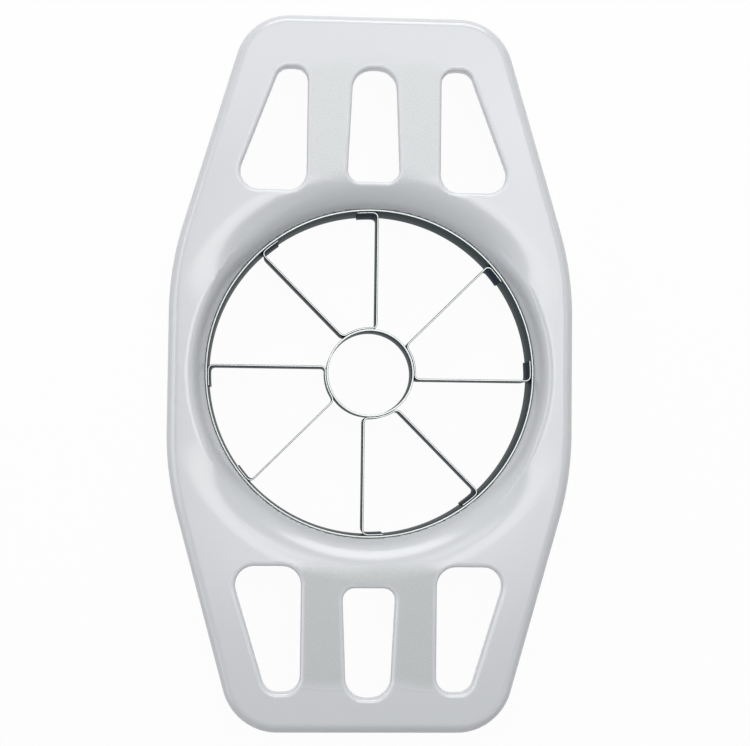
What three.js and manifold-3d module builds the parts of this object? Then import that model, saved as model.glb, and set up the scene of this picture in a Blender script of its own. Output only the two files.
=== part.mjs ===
// Hand apple slicer: a moulded frame with two grips round a ring of steel blades that cuts
// eight wedges and takes out the core. Millimetres, Z up. It lies on z = 0 as on a board, with
// the middle of its length (Y) and of its width (X) at the origin.

import * as THREE from "three";
import { mergeVertices } from "three/addons/utils/BufferGeometryUtils.js";
import Module from "manifold-3d";

const wasm = await Module();
wasm.setup();

// Opening and funnel
const openingRadius = 41.7;
const funnelReach = 6.4;
const funnelDepth = 6.4;
const funnelLipRound = 0.9;

// Frame outline at its foot, from the middle of the blade ring
const sideMargin = 3.7;
const topReach = 91.5;
const bottomReach = 91;
const endHalfWidth = 33.1;
const taperStart = 26.1;
const sideBlendRadius = 80;
const endCornerRadius = 13.8;

// Frame section
const deckThickness = 2.8;
const wallThickness = 2.6;
const edgeRound = 2.6;
const cavityRound = 1.2;
const footChamfer = 0.4;
const draftShare = 0.026;

// Hand slots, three at each end. Gaps are from the funnel's edge, borders from the frame's end.
const topSlotGap = 2;
const topBorder = 14.2;
const bottomCentreSlotGap = 6.3;
const bottomCentreBorder = 9.2;
const bottomSideSlotGap = 1.6;
const bottomSideBorder = 10.6;
const centreSlotInnerHalfWidth = 6.7;
const centreSlotOuterHalfWidth = 5.45;
const centreSlotInnerRadius = 3;
const centreSlotEndRoundShare = 0.94;
const sideSlotStartShare = 0.516;
const sideSlotInnerShare = 0.78;
const topSideSlotOuterShare = 0.651;
const bottomSideSlotOuterShare = 0.705;
const sideSlotRadius = 4.8;
const sideSlotEndRoundShare = 0.48;
const slotLipWidth = 1.8;
const slotLipDepth = 3.8;
const slotRimRound = 1.2;

// Steel band and core ring
const steelThickness = 0.5;
const bandFoot = 2;
const bandHeight = 11.6;
const flangeWidth = 2.8;
const coreRadius = 11.3;
const coreFoot = 0.5;
const coreRise = 0.2;

// Blade strips
const stripThickness = 0.45;
const stripFoot = 0.8;
const stripDrop = 0.8;
const stripBend = 1.4;
const bladeOffset = 1.5;
const tabLength = 5.2;
const grindHeight = 1.6;
const cuttingEdge = 0.08;

// Retaining ring under the flange, held by a snap bead in the collar's groove
const retainerWall = 2.2;
const retainerRise = 6;
const snapDepth = 0.6;
const snapHeight = 1.2;
const snapDrop = 2;

// Clearances and overruns
const fitGap = 0.3;
const cutOverrun = 1;
const mergeDistance = 0.001;

// Smoothness, in steps
const turnSteps = 80;
const cornerSteps = 6;
const roundSteps = 5;
const bendSteps = 4;

const bladePairs = 4;
const wedgeAngle = Math.PI / bladePairs;

const ringY = (bottomReach - topReach) / 2;
const funnelRadius = openingRadius + funnelReach;
const frameHalfWidth = funnelRadius + sideMargin;
const bandOuterRadius = openingRadius + steelThickness;
const boreRadius = bandOuterRadius + fitGap;
const collarRadius = boreRadius + wallThickness;
const collarFoot = bandFoot + steelThickness;
const bandTop = bandFoot + bandHeight;
const frameHeight = bandTop + funnelDepth;
const deckUnderside = frameHeight - deckThickness;
const stripTop = bandTop - stripDrop;
const retainerTop = bandFoot + retainerRise;
const snapCentre = retainerTop - snapDrop;

const plastic = { color: 0xdfe1e3, roughness: 0.28, metalness: 0 };
const steel = { color: 0xc6c9cc, roughness: 0.2, metalness: 1 };

// Turns a closed geometry into a solid that can be joined and cut.
function solidFrom(geometry) {
  geometry.deleteAttribute("normal");
  geometry.deleteAttribute("uv");
  const merged = mergeVertices(geometry, mergeDistance);
  const index = merged.index.array;
  const triVerts = [];
  for (let i = 0; i < index.length; i += 3) {
    const [a, b, c] = [index[i], index[i + 1], index[i + 2]];
    if (a !== b && b !== c && c !== a) triVerts.push(a, b, c);
  }
  const vertProperties = new Float32Array(merged.attributes.position.array);
  const mesh = new wasm.Mesh({ numProp: 3, vertProperties, triVerts: new Uint32Array(triVerts) });
  return new wasm.Manifold(mesh);
}

// Turns a solid back into a geometry with flat-shaded faces.
function geometryFrom(solid) {
  const mesh = solid.getMesh();
  const geometry = new THREE.BufferGeometry();
  geometry.setAttribute("position", new THREE.BufferAttribute(mesh.vertProperties, mesh.numProp));
  geometry.setIndex(new THREE.BufferAttribute(mesh.triVerts, 1));
  geometry.computeVertexNormals();
  return geometry;
}

// Spins a profile of [radius, height] points round Z. The profile runs counter-clockwise.
function turned(profile) {
  const points = profile.map(([radius, height]) => new THREE.Vector2(radius, height));
  points.push(points[0].clone());
  const geometry = new THREE.LatheGeometry(points, turnSteps);
  geometry.rotateX(Math.PI / 2);
  return geometry;
}

// Skins a stack of rings, lowest first, each with the same count of counter-clockwise points.
function loft(rings) {
  const count = rings[0].points.length;
  const positions = rings.flatMap(({ points, z }) => points.flatMap((p) => [p.x, p.y, z]));
  const index = [];
  for (let level = 0; level < rings.length - 1; level++) {
    for (let i = 0; i < count; i++) {
      const low = level * count + i;
      const lowNext = level * count + (i + 1) % count;
      index.push(low, lowNext, lowNext + count, low, lowNext + count, low + count);
    }
  }
  const topStart = (rings.length - 1) * count;
  const topRing = rings[rings.length - 1];
  for (const [a, b, c] of THREE.ShapeUtils.triangulateShape(rings[0].points, [])) {
    index.push(c, b, a);
  }
  for (const [a, b, c] of THREE.ShapeUtils.triangulateShape(topRing.points, [])) {
    index.push(topStart + a, topStart + b, topStart + c);
  }
  const geometry = new THREE.BufferGeometry();
  geometry.setAttribute("position", new THREE.Float32BufferAttribute(positions, 3));
  geometry.setIndex(index);
  return geometry;
}

// Outward normal of the side that runs from one corner to the next, counter-clockwise.
function sideNormal(from, to) {
  return new THREE.Vector2(to.y - from.y, from.x - to.x).normalize();
}

// Moves every side of a convex outline outward by a distance; a negative one moves it inward.
function offsetCorners(corners, distance) {
  return corners.map((corner, i) => {
    const before = sideNormal(corners.at(i - 1), corner);
    const after = sideNormal(corner, corners[(i + 1) % corners.length]);
    const shift = before.clone().add(after).multiplyScalar(distance / (1 + before.dot(after)));
    return { x: corner.x + shift.x, y: corner.y + shift.y, radius: corner.radius + distance };
  });
}

// Points of a convex outline with its corners rounded.
function roundedPoints(corners) {
  return corners.flatMap((corner, i) => {
    const before = sideNormal(corners.at(i - 1), corner);
    const after = sideNormal(corner, corners[(i + 1) % corners.length]);
    const inward = before.clone().add(after).multiplyScalar(corner.radius / (1 + before.dot(after)));
    const start = before.angle();
    const turn = Math.atan2(before.cross(after), before.dot(after));
    return Array.from({ length: cornerSteps + 1 }, (_, step) => {
      const angle = start + turn * step / cornerSteps;
      const x = corner.x - inward.x + corner.radius * Math.cos(angle);
      const y = corner.y - inward.y + corner.radius * Math.sin(angle);
      return new THREE.Vector2(x, y);
    });
  });
}

function ringAt(corners, distance, z) {
  return { points: roundedPoints(offsetCorners(corners, distance)), z };
}

// Half width of the frame's foot at a distance from the ring's middle, towards an end that
// reaches so far, before any rounding.
function halfWidthAt(distance, reach) {
  const taper = (frameHalfWidth - endHalfWidth) / (reach - taperStart);
  return frameHalfWidth - taper * (distance - taperStart);
}

function frameCorners() {
  const right = [
    { x: endHalfWidth, y: -bottomReach, radius: endCornerRadius },
    { x: frameHalfWidth, y: -taperStart, radius: sideBlendRadius },
    { x: frameHalfWidth, y: taperStart, radius: sideBlendRadius },
    { x: endHalfWidth, y: topReach, radius: endCornerRadius },
  ];
  const left = right.map((corner) => ({ ...corner, x: -corner.x })).reverse();
  return [...right, ...left];
}

// Rings of a quarter round that starts upright at one offset and ends level with the top.
function quarterRound(corners, start, reach, top) {
  const radius = Math.abs(reach);
  return Array.from({ length: roundSteps }, (_, step) => {
    const angle = (step + 1) / roundSteps * Math.PI / 2;
    const distance = start + reach * (1 - Math.cos(angle));
    return ringAt(corners, distance, top - radius * (1 - Math.sin(angle)));
  });
}

function outerBody() {
  const corners = frameCorners();
  const roundFoot = frameHeight - edgeRound;
  const lean = draftShare * roundFoot;
  return solidFrom(loft([
    ringAt(corners, -footChamfer, 0),
    ringAt(corners, 0, footChamfer),
    ringAt(corners, -lean, roundFoot),
    ...quarterRound(corners, -lean, -edgeRound, frameHeight),
  ]));
}

function cavity() {
  const corners = frameCorners();
  const roundFoot = deckUnderside - cavityRound;
  const lean = draftShare * roundFoot;
  return solidFrom(loft([
    ringAt(corners, -wallThickness, -cutOverrun),
    ringAt(corners, -wallThickness - lean, roundFoot),
    ...quarterRound(corners, -wallThickness - lean, -cavityRound, deckUnderside),
  ]));
}

// Collar round the opening, with the backing of the funnel up to the deck.
function collar() {
  const run = funnelRadius - boreRadius;
  const rise = frameHeight - bandTop;
  const backShift = wallThickness * Math.hypot(run, rise) / rise;
  const backRadius = funnelRadius + backShift - deckThickness * run / rise;
  const snapFoot = snapCentre - snapHeight / 2;
  const snapHead = snapCentre + snapHeight / 2;
  const profile = [
    [0, collarFoot],
    [collarRadius, collarFoot],
    [collarRadius, snapFoot],
    [collarRadius - snapDepth, snapCentre],
    [collarRadius, snapHead],
    [collarRadius, bandTop + (wallThickness - backShift) * rise / run],
    [backRadius, deckUnderside],
    [backRadius, frameHeight],
    [0, frameHeight],
  ];
  return solidFrom(turned(profile));
}

// Bore for the steel band, and the dished funnel with its rounded lip above it.
function funnelCut() {
  const start = new THREE.Vector2(boreRadius, bandTop);
  const lip = new THREE.Vector2(funnelRadius, frameHeight);
  const lipStart = lip.clone().add(start.clone().sub(lip).setLength(funnelLipRound));
  const lipEnd = lip.clone().add(new THREE.Vector2(funnelLipRound, 0));
  const lipCurve = new THREE.QuadraticBezierCurve(lipStart, lip, lipEnd);
  const profile = [
    [0, -cutOverrun],
    [boreRadius, -cutOverrun],
    [boreRadius, bandTop],
    ...lipCurve.getPoints(bendSteps).map((p) => [p.x, p.y]),
    [lipEnd.x, frameHeight + cutOverrun],
    [0, frameHeight + cutOverrun],
  ];
  return solidFrom(turned(profile));
}

function centreSlotCorners(end, inner, outer) {
  const endRadius = centreSlotEndRoundShare * centreSlotOuterHalfWidth;
  const corners = [
    { x: centreSlotInnerHalfWidth, y: inner, radius: centreSlotInnerRadius },
    { x: centreSlotOuterHalfWidth, y: outer, radius: endRadius },
    { x: -centreSlotOuterHalfWidth, y: outer, radius: endRadius },
    { x: -centreSlotInnerHalfWidth, y: inner, radius: centreSlotInnerRadius },
  ];
  return mirrored(corners, 1, end);
}

// A side slot keeps its shares of the frame's half width, so that it tapers with the frame.
function sideSlotCorners(side, end, inner, outer, reach, outerShare) {
  const start = sideSlotStartShare * endHalfWidth;
  const innerEdge = sideSlotInnerShare * halfWidthAt(inner, reach);
  const outerEdge = outerShare * halfWidthAt(outer, reach);
  const endRadius = sideSlotEndRoundShare * (outerEdge - start);
  const corners = [
    { x: start, y: inner, radius: sideSlotRadius },
    { x: innerEdge, y: inner, radius: sideSlotRadius },
    { x: outerEdge, y: outer, radius: endRadius },
    { x: start, y: outer, radius: endRadius },
  ];
  return mirrored(corners, side, end);
}

// Flips corners to the side and end that they belong to, and keeps them counter-clockwise.
function mirrored(corners, side, end) {
  const flipped = corners.map((corner) => ({ ...corner, x: side * corner.x, y: end * corner.y }));
  return side * end > 0 ? flipped : flipped.reverse();
}

function slotOutlines() {
  const topInner = funnelRadius + topSlotGap;
  const topOuter = topReach - topBorder;
  const bottomInner = funnelRadius + bottomCentreSlotGap;
  const bottomOuter = bottomReach - bottomCentreBorder;
  const bottomSideInner = funnelRadius + bottomSideSlotGap;
  const bottomSideOuter = bottomReach - bottomSideBorder;
  const outlines = [
    centreSlotCorners(1, topInner, topOuter),
    centreSlotCorners(-1, bottomInner, bottomOuter),
  ];
  const topArgs = [topInner, topOuter, topReach, topSideSlotOuterShare];
  const bottomArgs = [bottomSideInner, bottomSideOuter, bottomReach, bottomSideSlotOuterShare];
  for (const side of [1, -1]) {
    outlines.push(sideSlotCorners(side, 1, ...topArgs), sideSlotCorners(side, -1, ...bottomArgs));
  }
  return outlines;
}

function slotLip(corners) {
  return solidFrom(loft([
    ringAt(corners, slotLipWidth, frameHeight - slotLipDepth),
    ringAt(corners, slotLipWidth, frameHeight - deckThickness / 2),
  ]));
}

// The slot flares at the deck, which leaves its rim rounded.
function slotCut(corners) {
  return solidFrom(loft([
    ringAt(corners, 0, -cutOverrun),
    ringAt(corners, 0, frameHeight - slotRimRound),
    ...quarterRound(corners, 0, slotRimRound, frameHeight),
    ringAt(corners, slotRimRound, frameHeight + cutOverrun),
  ]));
}

function buildFrame() {
  const body = outerBody();
  const outlines = slotOutlines();
  let solid = body.subtract(cavity()).add(collar().intersect(body));
  for (const corners of outlines) solid = solid.add(slotLip(corners));
  solid = solid.subtract(funnelCut());
  for (const corners of outlines) solid = solid.subtract(slotCut(corners));
  return geometryFrom(solid);
}

// Band with a flange at its foot, which bears up against the collar.
function buildBand() {
  const flangeRadius = bandOuterRadius + flangeWidth;
  return turned([
    [openingRadius, bandFoot],
    [flangeRadius, bandFoot],
    [flangeRadius, collarFoot],
    [bandOuterRadius, collarFoot],
    [bandOuterRadius, bandTop],
    [openingRadius, bandTop],
  ]);
}

// Ring with a ledge under the flange and a snap bead that sits in the collar's groove.
function buildRetainingRing() {
  const seatRadius = collarRadius + fitGap;
  const outerRadius = seatRadius + retainerWall;
  return turned([
    [boreRadius, 0],
    [outerRadius, 0],
    [outerRadius, retainerTop],
    [seatRadius, retainerTop],
    [seatRadius, snapCentre + snapHeight / 2],
    [seatRadius - snapDepth, snapCentre],
    [seatRadius, snapCentre - snapHeight / 2],
    [seatRadius, bandFoot],
    [boreRadius, bandFoot],
  ]);
}

// Tube that takes out the core, ground from inside to an edge at its foot.
function buildCoreRing() {
  const innerRadius = coreRadius - steelThickness;
  return turned([
    [coreRadius - cuttingEdge, coreFoot],
    [coreRadius, coreFoot],
    [coreRadius, stripTop + coreRise],
    [innerRadius, stripTop + coreRise],
    [innerRadius, coreFoot + grindHeight],
  ]);
}

// Point of a blade at a distance from the ring's middle. The blade's line passes the middle by
// the blade offset, on its clockwise side.
function bladePoint(angle, radius) {
  const along = Math.sqrt(radius ** 2 - bladeOffset ** 2);
  return new THREE.Vector2(along, -bladeOffset).rotateAround(new THREE.Vector2(), angle);
}

function onCircle(radius, angle) {
  return [radius * Math.cos(angle), radius * Math.sin(angle)];
}

// Middle line of one strip, seen from above: foot, blade, wrap round the core, blade, foot.
function stripPath() {
  const tabRadius = openingRadius - fitGap - stripThickness / 2;
  const wrapRadius = coreRadius + fitGap + stripThickness / 2;
  const tabTurn = tabLength / tabRadius;
  const tabBend = stripBend / tabRadius;
  const wrapBend = stripBend / wrapRadius;
  const tabStart = bladePoint(0, tabRadius);
  const wrapStart = bladePoint(0, wrapRadius);
  const wrapEnd = bladePoint(wedgeAngle, wrapRadius);
  const tabEnd = bladePoint(wedgeAngle, tabRadius);
  const firstIn = bladePoint(0, tabRadius - stripBend);
  const firstOut = bladePoint(0, wrapRadius + stripBend);
  const secondIn = bladePoint(wedgeAngle, wrapRadius + stripBend);
  const secondOut = bladePoint(wedgeAngle, tabRadius - stripBend);
  const startAngle = Math.atan2(tabStart.y, tabStart.x);
  const endAngle = Math.atan2(tabEnd.y, tabEnd.x);
  const wrapFrom = Math.atan2(wrapStart.y, wrapStart.x) + wrapBend;
  const wrapTo = Math.atan2(wrapEnd.y, wrapEnd.x) - wrapBend;
  const path = new THREE.Path();
  path.absarc(0, 0, tabRadius, startAngle + tabTurn, startAngle + tabBend, true);
  path.quadraticCurveTo(tabStart.x, tabStart.y, firstIn.x, firstIn.y);
  path.lineTo(firstOut.x, firstOut.y);
  path.quadraticCurveTo(wrapStart.x, wrapStart.y, ...onCircle(wrapRadius, wrapFrom));
  path.absarc(0, 0, wrapRadius, wrapFrom, wrapTo, false);
  path.quadraticCurveTo(wrapEnd.x, wrapEnd.y, secondIn.x, secondIn.y);
  path.lineTo(secondOut.x, secondOut.y);
  path.quadraticCurveTo(tabEnd.x, tabEnd.y, ...onCircle(tabRadius, endAngle - tabBend));
  path.absarc(0, 0, tabRadius, endAngle - tabBend, endAngle - tabTurn, true);
  const points = path.getPoints(bendSteps);
  return points.filter((point, i) => i === 0 || point.distanceTo(points[i - 1]) > mergeDistance);
}

// Outline of the strip's edge at a height, half its thickness to each side of the middle line.
function stripRing(path, halfThickness, z) {
  const normals = path.map((point, i) => {
    const before = path[Math.max(i - 1, 0)];
    const after = path[Math.min(i + 1, path.length - 1)];
    return sideNormal(before, after).multiplyScalar(halfThickness);
  });
  const right = path.map((point, i) => point.clone().add(normals[i]));
  const left = path.map((point, i) => point.clone().sub(normals[i])).reverse();
  return { points: [...right, ...left], z };
}

function buildStrip() {
  const path = stripPath();
  return loft([
    stripRing(path, cuttingEdge / 2, stripFoot),
    stripRing(path, stripThickness / 2, stripFoot + grindHeight),
    stripRing(path, stripThickness / 2, stripTop),
  ]);
}

function piece(name, geometry, look) {
  const mesh = new THREE.Mesh(geometry, new THREE.MeshStandardMaterial(look));
  mesh.name = name;
  return mesh;
}

// Four like strips, a quarter turn apart, make the eight blades.
function buildBladeSet() {
  const set = new THREE.Group();
  const geometry = buildStrip();
  for (let pair = 0; pair < bladePairs; pair++) {
    const strip = piece(`blade_strip_${pair + 1}`, geometry, steel);
    strip.rotation.z = 2 * wedgeAngle * pair;
    set.add(strip);
  }
  return set;
}

const slicer = new THREE.Group();
slicer.position.y = ringY;
slicer.add(
  piece("frame", buildFrame(), plastic),
  piece("retaining_ring", buildRetainingRing(), plastic),
  piece("outer_band", buildBand(), steel),
  piece("core_ring", buildCoreRing(), steel),
  buildBladeSet(),
);

const appleSlicer = new THREE.Group();
appleSlicer.add(slicer);

export default appleSlicer;
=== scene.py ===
"""Looks of a hand apple slicer: a white moulded frame round a ring of steel blades.

Lengths are in millimetres in the part's own frame. Meshes are turned into metres as they are made.
"""

import logging
import math
from dataclasses import dataclass
from enum import Enum
from typing import ClassVar, Sequence, Union

import bpy
import numpy as np
from mathutils import Matrix, Vector


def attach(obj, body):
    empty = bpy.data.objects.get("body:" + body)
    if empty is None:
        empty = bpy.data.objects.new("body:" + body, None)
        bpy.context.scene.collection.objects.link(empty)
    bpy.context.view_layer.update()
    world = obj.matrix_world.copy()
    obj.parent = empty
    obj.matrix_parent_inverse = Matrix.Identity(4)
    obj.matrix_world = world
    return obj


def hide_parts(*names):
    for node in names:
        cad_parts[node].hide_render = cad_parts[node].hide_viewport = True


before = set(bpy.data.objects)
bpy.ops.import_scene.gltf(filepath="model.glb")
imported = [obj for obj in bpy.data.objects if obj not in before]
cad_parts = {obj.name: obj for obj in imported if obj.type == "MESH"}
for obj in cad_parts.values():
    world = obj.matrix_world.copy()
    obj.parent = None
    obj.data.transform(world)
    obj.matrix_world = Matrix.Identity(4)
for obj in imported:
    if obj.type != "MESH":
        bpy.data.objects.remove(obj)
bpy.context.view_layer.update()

MM = 0.001
ROOT = "root"

NOISE_MIDDLE = 0.5

log = logging.getLogger("apple_slicer")

Point2 = tuple[float, float]
Point3 = tuple[float, float, float]
Colour = tuple[float, float, float]
Socket = Union["Value", float, int, bool, str, tuple, bpy.types.ID]


class Slot(Enum):
    """Material slots of the record. Some pieces are handed one, which is not read."""

    FRAME = "frame_plastic"
    RING = "ring_plastic"
    BLADE = "blade_steel"
    BAND = "band_steel"


class Value:
    """Output of a node, with the operators of arithmetic."""

    def __init__(self, tree: "NodeTree", socket: bpy.types.NodeSocket) -> None:
        """Keeps an output socket and the tree that it belongs to."""
        self.tree = tree
        self.socket = socket

    def _math(self, operation: str, first: Socket, second: Socket | None) -> "Value":
        """Adds one Math node on two values and returns its result."""
        return self.tree.add("ShaderNodeMath", {"operation": operation}, {0: first, 1: second})

    def __add__(self, other: Socket) -> "Value":
        """Returns self + other."""
        return self._math("ADD", self, other)

    __radd__ = __add__

    def __sub__(self, other: Socket) -> "Value":
        """Returns self - other."""
        return self._math("SUBTRACT", self, other)

    def __rsub__(self, other: Socket) -> "Value":
        """Returns other - self."""
        return self._math("SUBTRACT", other, self)

    def __mul__(self, other: Socket) -> "Value":
        """Returns self * other."""
        return self._math("MULTIPLY", self, other)

    __rmul__ = __mul__

    def __abs__(self) -> "Value":
        """Returns self without its sign."""
        return self._math("ABSOLUTE", self, None)

    def __gt__(self, other: Socket) -> "Value":
        """Returns 1 where self is greater than other."""
        return self._math("GREATER_THAN", self, other)

    def __or__(self, other: Socket) -> "Value":
        """Returns the greater of the two."""
        return self._math("MAXIMUM", self, other)


class NodeTree:
    """A shader or geometry node tree that is written as calls."""

    def __init__(self, tree: bpy.types.NodeTree) -> None:
        """Wraps an empty tree."""
        self.tree = tree

    def add(
        self,
        kind: str,
        settings: dict[str, object] | None = None,
        inputs: dict[int | str, Socket] | None = None,
        output: int | str = 0,
    ) -> Value:
        """Adds a node, sets it and fills its sockets.

        Args:
            kind: The node's type.
            settings: The node's properties, set first.
            inputs: Values or links of its input sockets, by name or number.
            output: The output to return, by name or number.

        Returns:
            The chosen output.
        """
        node = self.tree.nodes.new(kind)
        for name, setting in (settings or {}).items():
            setattr(node, name, setting)
        for key, value in (inputs or {}).items():
            if isinstance(value, Value):
                self.tree.links.new(value.socket, node.inputs[key])
            elif value is not None:
                node.inputs[key].default_value = value
        return Value(self, node.outputs[output]) if node.outputs else Value(self, None)

    def output_of(self, value: Value, name: str) -> Value:
        """Gives another output of the node that a value comes from."""
        return Value(self, value.socket.node.outputs[name])

    def noise(self, where: Value, waves_per_m: float, detail: float | None = None) -> Value:
        """Adds a noise texture.

        Args:
            where: Place, in metres.
            waves_per_m: Its waves in a metre.
            detail: Its octaves, or None for the node's own.

        Returns:
            Its value, from 0 to 1.
        """
        sockets = {"Vector": where, "Scale": waves_per_m, "Detail": detail}
        return self.add("ShaderNodeTexNoise", inputs=sockets)

    def rise(self, place: Value, level: float, softness: float, curve: str = "LINEAR") -> Value:
        """Rises from 0 to 1 across a level.

        Args:
            place: Place across the level, in metres.
            level: The level, in millimetres.
            softness: Half of the width of the rise, in millimetres.
            curve: How it rises.

        Returns:
            The mask.
        """
        low, high = (level - softness) * MM, (level + softness) * MM
        sockets = {"Value": place, "From Min": low, "From Max": high}
        return self.add("ShaderNodeMapRange", {"interpolation_type": curve}, sockets)

    def mix(self, share: Value, first: Value | Colour, second: Value | Colour) -> Value:
        """Mixes two colours.

        Args:
            share: Share of the second.
            first: First colour.
            second: Second colour.

        Returns:
            The mixed colour.
        """
        colours = [c if isinstance(c, Value) else (*c, 1.0) for c in (first, second)]
        sockets = {"Factor": share, 6: colours[0], 7: colours[1]}
        return self.add("ShaderNodeMix", {"data_type": "RGBA"}, sockets, output=2)

    def close(self, relief: Value, depth: float, sockets: dict[str, Socket]) -> None:
        """Ends a material with its bump, its shader and its output.

        Args:
            relief: Height of the relief, in parts of its depth.
            depth: Depth of the relief, in millimetres.
            sockets: The shader's other inputs.
        """
        bump = self.add("ShaderNodeBump", inputs={"Height": relief, "Distance": depth * MM})
        surface = self.add("ShaderNodeBsdfPrincipled", inputs={**sockets, "Normal": bump})
        self.add("ShaderNodeOutputMaterial", inputs={"Surface": surface})


def new_shader(name: str) -> tuple[bpy.types.Material, NodeTree]:
    """Makes an empty node material.

    Args:
        name: The material's name.

    Returns:
        The material and its tree.
    """
    material = bpy.data.materials.new(name)
    material.use_nodes = True
    material.node_tree.nodes.clear()
    return material, NodeTree(material.node_tree)


@dataclass(frozen=True)
class MouldedPlastic:
    """White injection-moulded plastic, polished, with spark-eroded grip zones where it has them,
    painted light on the rims round the slots and painted shade on the bottom grip.

    Attributes:
        name: The material's name.
        colour: Colour where the surface is polished.
        cool_colour: Colour that drifts over it in clouds.
        painted_rim_light_colour: Painted light on the rims round the slots, lighter than the rest of
            the surface.
        rim_width: Width of these rims, which carry the painted light and no grain, and half the width
            of their soft border, in millimetres.
        grained_colour: Colour where the surface is grained, at the top end.
        shaded_low_grained_colour: The same at the bottom end, darker with painted shade where the
            light falls off towards that end.
        speck_spread: How far the grain's specks lie from that colour, as a share of it.
        speck_contrast: How far the grain's noise is stretched to make them.
        roughness: Roughness where it is polished.
        grained_roughness: Roughness where it is grained.
        grip_half_width: Half width of the grained zones in millimetres, or zero for none.
        grip_start: Where the grained zones start, from the ring's middle.
        grip_end: Where they end.
        grip_fade: Half the width of their soft border, and how far it wavers.
    """

    name: str
    colour: Colour = (0.745, 0.752, 0.768)
    cool_colour: Colour = (0.72, 0.732, 0.758)
    painted_rim_light_colour: Colour = (0.86, 0.87, 0.9)
    rim_width: Point2 = (0.9, 0.5)
    grained_colour: Colour = (0.755, 0.77, 0.775)
    shaded_low_grained_colour: Colour = (0.61, 0.622, 0.628)
    speck_spread: float = 0.09
    speck_contrast: float = 2.4
    roughness: float = 0.2
    grained_roughness: float = 0.48
    roughness_spread: float = 0.08
    specular: float = 0.8
    grain_per_m: float = 3200.0
    grain_detail: float = 2.0
    grain_height: float = 0.03
    cloud_per_m: float = 22.0
    cloud_detail: float = 3.0
    wave_per_m: float = 60.0
    wave_height: float = 0.04
    grip_half_width: float = 0.0
    grip_start: float = 49.0
    grip_end: float = 78.5
    grip_fade: float = 2.4

    def _grip(self, tree: NodeTree, where: Value, wave: Value) -> Value:
        """Mask of the grained zones at both ends.

        Args:
            tree: The tree.
            where: Object coordinates.
            wave: Noise that makes their borders waver.

        Returns:
            1 in the zones and 0 outside, with soft borders.
        """
        across = tree.add("ShaderNodeSeparateXYZ", inputs={0: where}, output="X")
        along = tree.output_of(across, "Y") - SlicerSizes.middle_y * MM
        drift = (wave - NOISE_MIDDLE) * (2 * self.grip_fade * MM)
        beside, inner, beyond = (
            tree.rise(abs(place) + drift, level, self.grip_fade, "SMOOTHSTEP")
            for place, level in (
                (across, self.grip_half_width),
                (along, self.grip_start),
                (along, self.grip_end),
            )
        )
        return inner * (1 - beside) * (1 - beyond)

    def _grained(self, tree: NodeTree, where: Value, grain: Value) -> Value:
        """Colour of the grained zones, with their specks, and painted shade on the zone at the bottom
        end.

        Args:
            tree: The tree.
            where: Object coordinates.
            grain: Noise of the grain.

        Returns:
            The colour.
        """
        speck = (grain - NOISE_MIDDLE) * self.speck_contrast + NOISE_MIDDLE
        ends = []
        # The bottom end's grained zone takes a darker colour: painted shade.
        for colour in (self.shaded_low_grained_colour, self.grained_colour):
            dark, light = (
                tuple(c * (1 + spread) for c in colour)
                for spread in (-self.speck_spread, self.speck_spread)
            )
            ends.append(tree.mix(speck, dark, light))
        at_top = tree.add("ShaderNodeSeparateXYZ", inputs={0: where}, output="Y") > 0
        return tree.mix(at_top, *ends)

    def material(self) -> bpy.types.Material:
        """Builds the material.

        Returns:
            The material.
        """
        material, tree = new_shader(self.name)
        where = tree.add("ShaderNodeTexCoord", output="Object")
        cloud = tree.noise(where, self.cloud_per_m, self.cloud_detail)
        wave = tree.noise(where, self.wave_per_m)
        tone = tree.mix(cloud, self.colour, self.cool_colour)
        relief = wave * (self.wave_height / self.grain_height)
        roughness = (cloud - NOISE_MIDDLE) * self.roughness_spread + self.roughness
        if self.grip_half_width > 0:
            grain = tree.noise(where, self.grain_per_m, self.grain_detail)
            margin = tree.add(
                "ShaderNodeAttribute", {"attribute_name": MouldedFrame.MARGIN_NAME}, output="Fac"
            )
            # Near the slots the tone turns to painted light on the rims, and the grain keeps off them.
            off_rim = tree.rise(margin, *self.rim_width, "SMOOTHSTEP")
            grip = self._grip(tree, where, wave) * off_rim
            polished = tree.mix(off_rim, self.painted_rim_light_colour, tone)
            tone = tree.mix(grip, polished, self._grained(tree, where, grain))
            relief = relief * (1 - grip) + grain * grip
            roughness = roughness + grip * (self.grained_roughness - self.roughness)
        sockets = {"Base Color": tone, "Roughness": roughness, "Specular IOR Level": self.specular}
        tree.close(relief, self.grain_height, sockets)
        return material


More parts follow.
